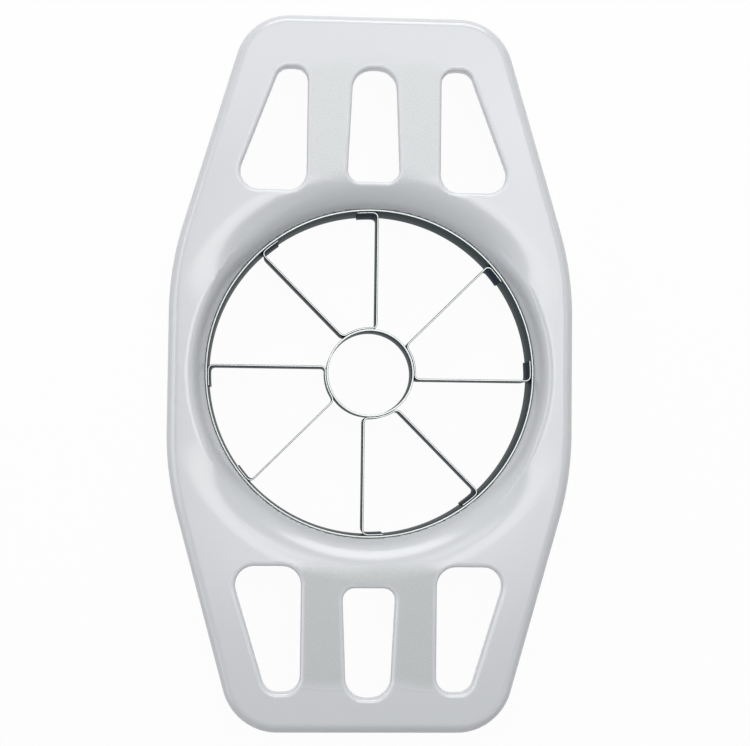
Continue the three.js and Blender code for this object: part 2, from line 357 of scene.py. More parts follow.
@dataclass(frozen=True)
class StripSteel:
    """Cold-rolled stainless strip: dull rolled faces, a painted highlight on the sheared top edge with
    painted shade just under it, and a brighter ground foot where it has one.

    Attributes:
        name: The material's name.
        top: Height of the top edge.
        ground_to: Height up to which the foot is ground bright, below zero for none.
        face: Colour of the rolled faces.
        stain: Colour of their darker streaks.
        painted_edge_shade: Painted shade, a near-black band under the top edge that stands for the
            dark lines of shade beside the lit edge.
        bright: Painted highlight along the sheared top edge, and the ground foot's own brighter
            colour.
        tint: Colour of the faces seen along them.
        rim: Height of the painted highlight under the top edge.
        rim_fade: Half the height of each soft border.
        painted_edge_shade_depth: How far below the top edge the painted shade reaches.
        line_share: Share of the rolling lines in the stain, the rest being smudges.
    """

    name: str
    top: float
    ground_to: float = -1.0
    face: Colour = (0.17, 0.195, 0.19)
    stain: Colour = (0.09, 0.105, 0.105)
    painted_edge_shade: Colour = (0.02, 0.025, 0.035)
    bright: Colour = (0.36, 0.38, 0.37)
    tint: Colour = (0.25, 0.26, 0.27)
    rim: float = 0.03
    rim_fade: float = 0.02
    painted_edge_shade_depth: float = 0.22
    roughness: float = 0.3
    roughness_spread: float = 0.16
    lines_per_m: float = 9000.0
    line_detail: float = 3.0
    line_stretch: float = 0.012
    line_height: float = 0.0015
    line_share: float = 0.6
    smudge_per_m: float = 90.0
    smudge_detail: float = 4.0

    def material(self) -> bpy.types.Material:
        """Builds the material.

        Returns:
            The material.
        """
        material, tree = new_shader(self.name)
        along = tree.add("ShaderNodeUVMap", {"uv_map": SweptSteel.UV_NAME})
        stretched = tree.add(
            "ShaderNodeVectorMath",
            {"operation": "MULTIPLY"},
            {0: along, 1: (self.line_stretch, 1.0, 1.0)},
        )
        lines = tree.noise(stretched, self.lines_per_m, self.line_detail)
        where = tree.add("ShaderNodeTexCoord", output="Object")
        smudge = tree.noise(where, self.smudge_per_m, self.smudge_detail)
        height = tree.add("ShaderNodeSeparateXYZ", inputs={0: where}, output="Z")
        over_painted_edge_shade, over_rim, over_ground = (
            tree.rise(height, level, self.rim_fade)
            for level in (self.top - self.painted_edge_shade_depth, self.top - self.rim, self.ground_to)
        )
        stained = lines * self.line_share + smudge * (1 - self.line_share)
        tone = tree.mix(stained, self.face, self.stain)
        # Painted shade: a near-black band just under the top edge.
        tone = tree.mix(over_painted_edge_shade, tone, self.painted_edge_shade)
        # Painted highlight along the top edge; the ground foot takes the same brighter colour as its
        # own finish.
        tone = tree.mix(over_rim | (1 - over_ground), tone, self.bright)
        uneven = (lines + smudge) * 0.5 - NOISE_MIDDLE
        sockets = {
            "Base Color": tone,
            "Metallic": 1.0,
            "Roughness": uneven * self.roughness_spread + self.roughness,
            "Specular Tint": (*self.tint, 1.0),
        }
        tree.close(lines, self.line_height, sockets)
        return material


@dataclass(frozen=True)
class Corner:
    """Corner of an outline, in plan or in section.

    Attributes:
        x: First coordinate.
        y: Second coordinate.
        radius: Radius of its rounding, or zero.
    """

    x: float
    y: float
    radius: float = 0.0


def rounded_outline(corners: Sequence[Corner], steps: int) -> list[Point2]:
    """Rounds the corners of a closed outline, convex or not.

    Args:
        corners: The corners in order.
        steps: Steps in each rounding.

    Returns:
        The outline's points in order.
    """
    points: list[Point2] = []
    for i, corner in enumerate(corners):
        here = Vector((corner.x, corner.y))
        before = Vector((corners[i - 1].x, corners[i - 1].y)) - here
        after_corner = corners[(i + 1) % len(corners)]
        after = Vector((after_corner.x, after_corner.y)) - here
        if corner.radius == 0:
            points.append((corner.x, corner.y))
            continue
        half = before.angle(after) / 2
        reach = corner.radius / math.tan(half)
        start = here + before.normalized() * reach
        end = here + after.normalized() * reach
        middle = here + (before.normalized() + after.normalized()).normalized() * (
            corner.radius / math.sin(half)
        )
        first = start - middle
        turn = first.angle_signed(end - middle)
        for step in range(steps + 1):
            point = middle + Matrix.Rotation(-turn * step / steps, 2) @ first
            points.append((point.x, point.y))
    return points


class ConvexOutline:
    """Convex outline with rounded corners, as a signed distance in plan."""

    def __init__(self, corners: Sequence[Corner]) -> None:
        """Works out the sides and the rounding centres.

        Args:
            corners: The corners, counter-clockwise.
        """
        places = np.array([(c.x, c.y) for c in corners])
        sides = np.roll(places, -1, axis=0) - places
        self.normals = np.stack([sides[:, 1], -sides[:, 0]], axis=1)
        self.normals /= np.linalg.norm(self.normals, axis=1)[:, None]
        self.levels = (self.normals * places).sum(axis=1)
        self.before = np.roll(self.normals, 1, axis=0)
        self.radii = np.array([c.radius for c in corners])
        both = self.before + self.normals
        share = self.radii / (1 + (self.before * self.normals).sum(axis=1))
        self.centres = places - both * share[:, None]

    def distance(self, x: np.ndarray, y: np.ndarray) -> np.ndarray:
        """Signed distance of points in plan, negative inside.

        Args:
            x: First coordinates.
            y: Second coordinates.

        Returns:
            The distances.
        """
        planes = [nx * x + ny * y - level for (nx, ny), level in zip(self.normals, self.levels)]
        result = np.maximum.reduce(planes)
        rows = zip(self.centres, self.radii, self.before, self.normals)
        for (cx, cy), radius, (bx, by), (ax, ay) in rows:
            dx = x - cx
            dy = y - cy
            in_corner = (bx * dy - by * dx >= 0) & (dx * ay - dy * ax >= 0)
            result = np.where(in_corner, np.hypot(dx, dy) - radius, result)
        return result


def round_meet(a: np.ndarray, b: np.ndarray, radius: float) -> np.ndarray:
    """Common part of two solids, with the edge between them rounded.

    Args:
        a: Signed distance to the first.
        b: Signed distance to the second.
        radius: Radius of the edge.

    Returns:
        Signed distance to the common part.
    """
    over = np.hypot(np.maximum(a + radius, 0), np.maximum(b + radius, 0))
    return np.minimum(-radius, np.maximum(a, b)) + over


def round_join(a: np.ndarray, b: np.ndarray, radius: float) -> np.ndarray:
    """Two solids joined, with a fillet in the corner between them.

    Args:
        a: Signed distance to the first.
        b: Signed distance to the second.
        radius: Radius of the fillet.

    Returns:
        Signed distance to both together.
    """
    return -round_meet(-a, -b, radius)


class SurfaceNet:
    """Skin of a solid given as a signed distance over a box grid."""

    def __init__(self, axes: Sequence[np.ndarray], values: np.ndarray) -> None:
        """Finds the cells that the surface passes through and joins them.

        Args:
            axes: Grid coordinates along X, Y and Z.
            values: Signed distance at each grid point.
        """
        self.axes = axes
        self.values = values
        self.inside = values < 0
        cells = tuple(n - 1 for n in values.shape)
        self.total = np.zeros((*cells, 3))
        self.count = np.zeros(cells)
        for axis in range(3):
            self._gather(axis)
        self.number = np.full(cells, -1)
        active = self.count > 0
        self.number[active] = np.arange(active.sum())
        self.points = self.total[active] / self.count[active][:, None]
        self.quads = np.concatenate([self._faces(axis) for axis in range(3)])

    @staticmethod
    def _cut(array: np.ndarray, axis: int, part: slice) -> np.ndarray:
        """Takes a slice of an array along one axis."""
        return array[(slice(None),) * axis + (part,)]

    def _crossings(self, axis: int) -> np.ndarray:
        """Tells which grid edges along an axis the surface crosses."""
        low = self._cut(self.inside, axis, slice(None, -1))
        return low != self._cut(self.inside, axis, slice(1, None))

    def _gather(self, axis: int) -> None:
        """Adds the crossing points of the edges along an axis to the four cells round each.

        Args:
            axis: The edges' direction.
        """
        low = self._cut(self.values, axis, slice(None, -1))
        high = self._cut(self.values, axis, slice(1, None))
        crossed = self._crossings(axis)
        share = np.where(crossed, low / np.where(crossed, low - high, 1), 0)
        grids = np.meshgrid(*self.axes, indexing="ij")
        starts = [self._cut(g, axis, slice(None, -1)) for g in grids]
        end = self._cut(grids[axis], axis, slice(1, None))
        starts[axis] = starts[axis] + share * (end - starts[axis])
        spots = np.stack(starts, axis=-1) * crossed[..., None]
        first, second = [a for a in range(3) if a != axis]
        for a in (slice(None, -1), slice(1, None)):
            for b in (slice(None, -1), slice(1, None)):
                self.total += self._cut(self._cut(spots, first, a), second, b)
                self.count += self._cut(self._cut(crossed, first, a), second, b)

    def _faces(self, axis: int) -> np.ndarray:
        """Makes a face round each crossed edge along an axis, turned outward.

        Args:
            axis: The edges' direction.

        Returns:
            Four point numbers for each face.
        """
        second, third = (axis + 1) % 3, (axis + 2) % 3
        crossed = self._crossings(axis)
        leaving = self._cut(self.inside, axis, slice(None, -1))
        inner = slice(1, -1)
        crossed = self._cut(self._cut(crossed, second, inner), third, inner)
        leaving = self._cut(self._cut(leaving, second, inner), third, inner)
        sides = []
        low, high = slice(None, -1), slice(1, None)
        for a, b in ((low, low), (high, low), (high, high), (low, high)):
            sides.append(self._cut(self._cut(self.number, second, a), third, b)[crossed])
        quads = np.stack(sides, axis=1)
        flip = ~leaving[crossed]
        quads[flip] = quads[flip][:, ::-1]
        return quads


def linked(name: str, data: bpy.types.ID) -> bpy.types.Object:
    """Makes an object and links it to the scene.

    Args:
        name: The object's name.
        data: Its mesh, lamp or camera.

    Returns:
        The object.
    """
    made = bpy.data.objects.new(name, data)
    bpy.context.scene.collection.objects.link(made)
    return made


def mesh_object(
    name: str,
    points: np.ndarray | Sequence[Point3],
    faces: Sequence[Sequence[int]],
    edges: Sequence[tuple[int, int]] = (),
) -> bpy.types.Object:
    """Makes a mesh object from points in millimetres.

    Args:
        name: The object's name.
        points: The points.
        faces: Point numbers of each face.
        edges: Point numbers of each edge, where there are no faces.

    Returns:
        The object, linked to the scene.
    """
    mesh = bpy.data.meshes.new(name)
    mesh.from_pydata((np.asarray(points) * MM).tolist(), edges, faces)
    mesh.validate()
    return linked(name, mesh)


def dress(piece: bpy.types.Object, node: str, finish: bpy.types.Material) -> None:
    """Puts a finished piece in the place of its node.

    Args:
        piece: The piece.
        node: The node that it stands for.
        finish: Its material.
    """
    piece.data.materials.clear()
    piece.data.materials.append(finish)
    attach(piece, ROOT)
    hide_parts(node)
    log.info("%s stands for %s with %d faces", piece.name, node, len(piece.data.polygons))


@dataclass
class SlicerSizes:
    """Sizes that the moulding and the parts in its opening share.

    Attributes:
        middle_y: Place of the ring's middle along Y.
        opening_radius: Inner radius of the band.
        wall: Wall of the frame's skirt and collar.
        fit_gap: Gap between parts that are put together.
        snap_level: Height of the snap bead and of its groove.
    """

    middle_y: float = -0.25
    opening_radius: float = 41.7
    steel_thickness: float = 0.5
    band_foot: float = 2.0
    band_height: float = 11.6
    wall: float = 2.6
    fit_gap: float = 0.3
    snap_depth: float = 0.6
    snap_half_height: float = 0.6
    snap_level: float = 6.0

    @property
    def band_top(self) -> float:
        """Height of the band's top edge."""
        return self.band_foot + self.band_height


@dataclass
class MouldedFrame(SlicerSizes):
    """White frame: deck, funnel, grips with six hand slots, skirt and collar, in one moulding.

    Attributes:
        funnel_side_slopes: Slopes of the funnel's wall at its foot and lip, at the sides.
        funnel_end_slopes: The same at the ends.
        funnel_turn: Where the sides' shape starts and ends to turn into the ends', as the share
            of a point's Y in its radius.
        draft_share: How far the sides lean in for each millimetre of height.
        top_border: Plastic beyond the top slots.
        grid_step: Step of the grid in plan.
        fine_rise: Its rise where the shape is rounded.
        wall_rise: Its rise along the plain walls.
        settle_rounds: Rounds that bring the skin onto the exact surface.
        least_slope: Least slope that a round divides by.
        probe: Distance over which a slope is measured.
    """

    MARGIN_NAME: ClassVar[str] = "distance_to_slot"

    funnel_reach: float = 6.4
    funnel_depth: float = 6.4
    funnel_lip_round: float = 0.6
    funnel_side_slopes: Point2 = (math.radians(85), math.radians(38))
    funnel_end_slopes: Point2 = (math.radians(60), 0.0)
    funnel_turn: Point2 = (0.34, 0.8)
    side_margin: float = 3.7
    top_reach: float = 91.5
    bottom_reach: float = 91.0
    end_half_width: float = 33.1
    top_half_width: float = 32.5
    bottom_half_width: float = 33.6
    taper_start: float = 26.1
    side_blend_radius: float = 80.0
    end_corner_radius: float = 14.6
    deck: float = 2.8
    edge_round: float = 2.6
    cavity_round: float = 1.2
    foot_round: float = 0.5
    draft_share: float = 0.026
    top_centre_slot_gap: float = 0.4
    top_side_slot_gap: float = -2.2
    top_border: float = 14.2
    bottom_centre_slot_gap: float = 6.3
    bottom_centre_border: float = 9.2
    bottom_side_slot_gap: float = 0.9
    bottom_side_border: float = 10.6
    centre_slot_inner_half: float = 6.7
    centre_slot_outer_half: float = 5.45
    centre_slot_inner_radius: float = 3.0
    centre_slot_round_share: float = 0.94
    side_slot_start_share: float = 0.516
    side_slot_inner_share: float = 0.78
    top_side_slot_outer_share: float = 0.651
    bottom_side_slot_outer_share: float = 0.705
    side_slot_radius: float = 4.8
    side_slot_round_share: float = 0.48
    lip_width: float = 1.8
    lip_depth: float = 3.8
    rim_round: float = 1.0
    inner_fillet: float = 0.8
    bore_edge_round: float = 0.3
    bore_gap: float = 0.06
    grid_step: float = 0.68
    fine_rise: float = 0.6
    wall_rise: float = 1.6
    grid_margin: float = 1.0
    settle_rounds: int = 4
    least_slope: float = 0.5
    probe: float = 0.02

    def __post_init__(self) -> None:
        """Works out the sizes that follow from the others, and the outlines."""
        self.height = self.band_top + self.funnel_depth
        self.funnel_radius = self.opening_radius + self.funnel_reach
        self.half_width = self.funnel_radius + self.side_margin
        self.bore_radius = self.opening_radius + self.steel_thickness + self.bore_gap
        self.edge = ConvexOutline(self._edge_corners())
        self.slots = [ConvexOutline(corners) for corners in self._slot_corners()]

    def _edge_corners(self) -> list[Corner]:
        """Corners of the frame's foot, counter-clockwise.

        Returns:
            The corners.
        """
        right = [
            (self.bottom_half_width, -self.bottom_reach, self.end_corner_radius),
            (self.half_width, -self.taper_start, self.side_blend_radius),
            (self.half_width, self.taper_start, self.side_blend_radius),
            (self.top_half_width, self.top_reach, self.end_corner_radius),
        ]
        left = [(-x, y, radius) for x, y, radius in reversed(right)]
        return [Corner(*corner) for corner in right + left]

    def _half_width_at(self, distance: float, reach: float) -> float:
        """Half width of the foot at a distance from the ring's middle, towards an end."""
        taper = (self.half_width - self.end_half_width) / (reach - self.taper_start)
        return self.half_width - taper * (distance - self.taper_start)

    def _slot_corners(self) -> list[list[Corner]]:
        """Corners of the six hand slots, each counter-clockwise.

        Returns:
            One list of corners for each slot.
        """
        top_end = self.top_reach - self.top_border
        top_centre = self.funnel_radius + self.top_centre_slot_gap
        top_side = self.funnel_radius + self.top_side_slot_gap
        bottom_centre = self.funnel_radius + self.bottom_centre_slot_gap
        bottom_centre_end = self.bottom_reach - self.bottom_centre_border
        bottom_side = self.funnel_radius + self.bottom_side_slot_gap
        bottom_side_end = self.bottom_reach - self.bottom_side_border
        slots = [
            self._centre_slot(1, top_centre, top_end),
            self._centre_slot(-1, bottom_centre, bottom_centre_end),
        ]
        sides = (
            (1, top_side, top_end, self.top_reach, self.top_side_slot_outer_share),
            (-1, bottom_side, bottom_side_end, self.bottom_reach, self.bottom_side_slot_outer_share),
        )
        return slots + [self._side_slot(hand, *side) for hand in (1, -1) for side in sides]

    def _centre_slot(self, end: int, inner: float, outer: float) -> list[Corner]:
        """Corners of a centre slot.

        Args:
            end: 1 for the top end, -1 for the bottom end.
            inner: Distance of its inner end from the ring's middle.
            outer: Distance of its outer end.

        Returns:
            The corners.
        """
        round_end = self.centre_slot_round_share * self.centre_slot_outer_half
        corners = [
            (self.centre_slot_inner_half, inner, self.centre_slot_inner_radius),
            (self.centre_slot_outer_half, outer, round_end),
            (-self.centre_slot_outer_half, outer, round_end),
            (-self.centre_slot_inner_half, inner, self.centre_slot_inner_radius),
        ]
        return self._placed(corners, 1, end)

    def _side_slot(
        self, hand: int, end: int, inner: float, outer: float, reach: float, outer_share: float
    ) -> list[Corner]:
        """Corners of a side slot, which tapers with the frame.

        Args:
            hand: 1 for the right side, -1 for the left side.
            end: 1 for the top end, -1 for the bottom end.
            inner: Distance of its inner end from the ring's middle.
            outer: Distance of its outer end.
            reach: How far the frame's end is.
            outer_share: Share of the half width that the slot takes at its outer end.

        Returns:
            The corners.
        """
        start = self.side_slot_start_share * self.end_half_width
        wide = self.side_slot_inner_share * self._half_width_at(inner, reach)
        narrow = outer_share * self._half_width_at(outer, reach)
        round_end = self.side_slot_round_share * (narrow - start)
        corners = [
            (start, inner, self.side_slot_radius),
            (wide, inner, self.side_slot_radius),
            (narrow, outer, round_end),
            (start, outer, round_end),
        ]
        return self._placed(corners, hand, end)

    @staticmethod
    def _placed(corners: list[tuple], hand: int, end: int) -> list[Corner]:
        """Flips top right corners to a side (1 right) and end (1 top), counter-clockwise."""
        placed = [Corner(hand * x, end * y, radius) for x, y, radius in corners]
        return placed if hand * end > 0 else placed[::-1]

    def plan(self, x: np.ndarray, y: np.ndarray) -> tuple[np.ndarray, ...]:
        """Distances that depend only on the place in plan.

        Args:
            x: First coordinates.
            y: Second coordinates, from the ring's middle.

        Returns:
            Distance to the foot's outline, distance to the nearest slot, the radius, and how
            much the funnel has turned from its crisp sides to its soft ends.
        """
        slots = np.minimum.reduce([slot.distance(x, y) for slot in self.slots])
        radius = np.hypot(x, y)
        near, far = self.funnel_turn
        leaning = np.abs(y) / np.maximum(radius, self.probe)
        turn = np.clip((leaning - near) / (far - near), 0, 1)
        return self.edge.distance(x, y), slots, radius, turn * turn * (3 - 2 * turn)

    def _funnel(self, radius: np.ndarray, z: np.ndarray, slopes: Point2) -> np.ndarray:
        """Signed distance to the space over a funnel whose wall bends outward like a bell.

        Args:
            radius: Distance from the ring's middle in plan.
            z: Height.
            slopes: Slopes of the wall at its foot and at its lip.

        Returns:
            The distances, negative in the space.
        """
        foot_slope, lip_slope = slopes
        bend = self.funnel_depth / (math.cos(lip_slope) - math.cos(foot_slope))
        middle = self.bore_radius + bend * math.sin(foot_slope)
        inward = np.maximum(middle - radius, 0)
        upward = np.maximum(z - self.height + bend * math.cos(lip_slope), 0)
        bell = bend - np.hypot(inward, upward) + np.maximum(radius - middle, 0)
        return np.minimum(radius - self.bore_radius, bell)

    def distance(
        self, edge: np.ndarray, slot: np.ndarray, radius: np.ndarray, turn: np.ndarray, z: np.ndarray
    ) -> np.ndarray:
        """Signed distance to the moulding.

        Args:
            edge: Distance to the foot's outline in plan.
            slot: Distance to the nearest slot in plan.
            radius: Distance from the ring's middle in plan.
            turn: How much the funnel has turned from its sides to its ends.
            z: Height.

        Returns:
            The distances, negative inside the plastic.
        """
        side = edge + self.draft_share * z
        body = round_meet(side, z - self.height, self.edge_round)
        body = round_meet(body, -z, self.foot_round)
        hollow = round_meet(side + self.wall, z - self.height + self.deck, self.cavity_round)
        shell = round_meet(body, -hollow, self.foot_round)
        at_sides = self._funnel(radius, z, self.funnel_side_slopes)
        at_ends = self._funnel(radius, z, self.funnel_end_slopes)
        foot = self.band_foot + self.steel_thickness
        collar_wall = self.wall + self.fit_gap - self.bore_gap
        outside = at_sides * (1 - turn) + at_ends * turn - collar_wall
        collar = round_meet(outside, foot - z, self.foot_round)
        collar = round_meet(collar, self.bore_radius - radius, self.bore_edge_round)
        solid = round_join(shell, np.maximum(collar, body), self.inner_fillet)
        lip_foot = self.height - self.lip_depth
        lip = round_meet(slot - self.lip_width, lip_foot - z, self.foot_round)
        solid = round_join(solid, np.maximum(lip, body), self.inner_fillet)
        cut_at_sides = round_meet(body, -at_sides, self.funnel_lip_round)
        cut_at_ends = np.maximum(body, -at_ends)
        solid = np.maximum(solid, cut_at_sides * (1 - turn) + cut_at_ends * turn)
        solid = round_meet(solid, -slot, self.rim_round)
        return np.maximum(solid, -self._groove(radius, z))

    def _groove(self, radius: np.ndarray, z: np.ndarray) -> np.ndarray:
        """Signed distance to the groove round the collar that takes the snap bead.

        Args:
            radius: Distance from the ring's middle in plan.
            z: Height.

        Returns:
            The distances, negative inside the groove.
        """
        collar_radius = self.bore_radius - self.bore_gap + self.fit_gap + self.wall
        steep = self.snap_depth / self.snap_half_height
        rise = np.abs(z - self.snap_level)
        depth = (collar_radius - self.snap_depth + steep * rise - radius) / math.hypot(1, steep)
        return np.maximum(depth, radius - collar_radius - self.fit_gap)

    def _at(self, points: np.ndarray) -> np.ndarray:
        """Signed distance at any points, given from the ring's middle."""
        x, y, z = points.T
        return self.distance(*self.plan(x, y), z)

    def _gradient(self, points: np.ndarray) -> np.ndarray:
        """Direction in which the distance grows, which is the surface's normal.

        Args:
            points: Points from the ring's middle.

        Returns:
            One vector for each point.
        """
        columns = []
        for axis in range(3):
            step = np.zeros(3)
            step[axis] = self.probe
            columns.append(self._at(points + step) - self._at(points - step))
        return np.stack(columns, axis=1) / (2 * self.probe)

    def _axes(self) -> list[np.ndarray]:
        """Grid coordinates: even in plan, closer in height where the shape is rounded.

        Returns:
            Coordinates along X, Y and Z.
        """
        wide = self.half_width + self.grid_margin
        across = np.arange(-wide, wide + self.grid_step, self.grid_step)
        low = -self.bottom_reach - self.grid_margin
        along = np.arange(low, self.top_reach + self.grid_margin + self.grid_step, self.grid_step)
        foot_top = 2 * self.grid_margin
        lip_foot = self.height - self.lip_depth - self.grid_margin
        heights = np.concatenate([
            np.arange(-self.grid_margin, foot_top, self.fine_rise / 2),
            np.arange(foot_top, lip_foot, self.wall_rise),
            np.arange(lip_foot, self.height + self.grid_margin + self.fine_rise, self.fine_rise),
        ])
        return [across, along, heights]

    def build(self, finish: bpy.types.Material) -> None:
        """Skins the moulding, settles the skin on the exact surface and dresses it.

        Args:
            finish: Its material.
        """
        across, along, heights = self._axes()
        x, y = np.meshgrid(across, along, indexing="ij")
        layers = (layer[..., None] for layer in self.plan(x, y))
        values = self.distance(*layers, heights[None, None, :])
        net = SurfaceNet((across, along, heights), values)
        points = net.points
        for _ in range(self.settle_rounds):
            slope = self._gradient(points)
            steep = np.maximum((slope ** 2).sum(axis=1), self.least_slope ** 2)
            move = (self._at(points) / steep)[:, None] * slope
            points = points - np.clip(move, -self.fine_rise / 2, self.fine_rise / 2)
        normals = self._gradient(points)
        normals /= np.linalg.norm(normals, axis=1)[:, None]
        piece = mesh_object("moulded_frame", points + (0, self.middle_y, 0), net.quads.tolist())
        piece.data.shade_smooth()
        piece.data.normals_split_custom_set_from_vertices(normals.tolist())
        margin = piece.data.attributes.new(self.MARGIN_NAME, "FLOAT", "POINT")
        margin.data.foreach_set("value", self.plan(points[:, 0], points[:, 1])[1] * MM)
        dress(piece, "frame", finish)


class SweptSteel:
    """Geometry Nodes tree that sweeps a section along a path seen from above."""

    UV_NAME: ClassVar[str] = "sweep_uv"

    def __init__(self) -> None:
        """Builds the tree."""
        group = bpy.data.node_groups.new("sweep_section_along_path", "GeometryNodeTree")
        self.group = group
        self.sockets: dict[str, str] = {}
        for name, kind in (
            ("Path", "NodeSocketGeometry"),
            ("Section", "NodeSocketObject"),
            ("Turn", "NodeSocketFloat"),
            ("Middle", "NodeSocketVector"),
            ("Sharp angle", "NodeSocketFloat"),
            ("Finish", "NodeSocketMaterial"),
        ):
            made = group.interface.new_socket(name, in_out="INPUT", socket_type=kind)
            self.sockets[name] = made.identifier
        group.interface.new_socket("Swept", in_out="OUTPUT", socket_type="NodeSocketGeometry")
        self._fill(NodeTree(group))

    def _fill(self, tree: NodeTree) -> None:
        """Adds the nodes.

        Args:
            tree: The empty tree.
        """
        path_in = tree.add("NodeGroupInput", output="Path")
        section_in = tree.output_of(path_in, "Section")
        path = tree.add("GeometryNodeMeshToCurve", inputs={"Mesh": path_in})
        path = tree.add("GeometryNodeSetCurveNormal", {"mode": "Z_UP"}, {"Curve": path})
        section = tree.add("GeometryNodeObjectInfo", inputs={"Object": section_in}, output="Geometry")
        section = tree.add("GeometryNodeMeshToCurve", inputs={"Mesh": section})
        path, path_length = self._with_length(tree, path)
        section, section_length = self._with_length(tree, section)
        swept = tree.add(
            "GeometryNodeCurveToMesh",
            inputs={"Curve": path, "Profile Curve": section, "Fill Caps": True},
        )
        place = tree.add("ShaderNodeCombineXYZ", inputs={"X": path_length, "Y": section_length})
        angle = tree.add("GeometryNodeInputMeshEdgeAngle", output="Unsigned Angle")
        sharp = angle > tree.output_of(path_in, "Sharp angle")
        turn = tree.add("ShaderNodeCombineXYZ", inputs={"Z": tree.output_of(path_in, "Turn")})
        middle = tree.output_of(path_in, "Middle")
        finish = tree.output_of(path_in, "Finish")
        for kind, settings, inputs in (
            (
                "StoreNamedAttribute",
                {"data_type": "FLOAT2", "domain": "CORNER"},
                {"Name": self.UV_NAME, "Value": place},
            ),
            ("SetShadeSmooth", {"domain": "FACE"}, {}),
            ("SetShadeSmooth", {"domain": "EDGE"}, {"Selection": sharp, "Shade Smooth": False}),
            ("Transform", {}, {"Translation": middle, "Rotation": turn}),
            ("RealizeInstances", {}, {}),
            ("SetMaterial", {}, {"Material": finish}),
        ):
            swept = tree.add(f"GeometryNode{kind}", settings, {"Geometry": swept, **inputs})
        tree.add("NodeGroupOutput", inputs={"Swept": swept})

    @staticmethod
    def _with_length(tree: NodeTree, curve: Value) -> tuple[Value, Value]:
        """Keeps the length along a curve for use after the sweep.

        Args:
            tree: The tree.
            curve: The curve.

        Returns:
            The curve and its captured length.
        """
        node = tree.add("GeometryNodeCaptureAttribute", inputs={"Geometry": curve}).socket.node
        node.capture_items.new("FLOAT", "Length")
        length = tree.add("GeometryNodeSplineParameter", output="Length")
        tree.tree.links.new(length.socket, node.inputs["Length"])
        return Value(tree, node.outputs["Geometry"]), Value(tree, node.outputs["Length"])

    def sweep(
        self,
        name: str,
        path: Sequence[Point2],
        section: Sequence[Point2],
        closed: bool,
        turn: float,
        middle_y: float,
        finish: bpy.types.Material,
        sharp_angle: float = math.radians(32),
    ) -> bpy.types.Object:
        """Sweeps a section along a path and gives a plain mesh.

        Args:
            name: The piece's name.
            path: Points of the path in plan.
            section: Closed section, as distance to the path's right and height.
            closed: Whether the path closes on itself.
            turn: Angle that the whole piece is turned by.
            middle_y: Place of the ring's middle along Y.
            finish: Its material.
            sharp_angle: Angle above which an edge stays sharp.

        Returns:
            The piece.
        """
        holder = self._line(name, [(x, y, 0) for x, y in path], closed)
        drawn = self._line(f"{name}_section", [(x, -z, 0) for x, z in section], True)
        modifier = holder.modifiers.new("sweep", "NODES")
        modifier.node_group = self.group
        modifier[self.sockets["Section"]] = drawn
        modifier[self.sockets["Turn"]] = turn
        modifier[self.sockets["Middle"]] = (0.0, middle_y * MM, 0.0)
        modifier[self.sockets["Sharp angle"]] = sharp_angle
        modifier[self.sockets["Finish"]] = finish
        bpy.context.view_layer.update()
        evaluated = holder.evaluated_get(bpy.context.evaluated_depsgraph_get())
        mesh = bpy.data.meshes.new_from_object(evaluated)
        mesh.name = name
        holder.modifiers.remove(modifier)
        bpy.data.objects.remove(holder)
        bpy.data.objects.remove(drawn)
        return linked(name, mesh)

    @staticmethod
    def _line(name: str, points: Sequence[Point3], closed: bool) -> bpy.types.Object:
        """Makes a mesh of edges from point to point.

        Args:
            name: The object's name.
            points: The points, in millimetres.
            closed: Whether the last point joins the first.

        Returns:
            The object.
        """
        count = len(points)
        edges = [(i, (i + 1) % count) for i in range(count if closed else count - 1)]
        return mesh_object(name, points, [], edges)


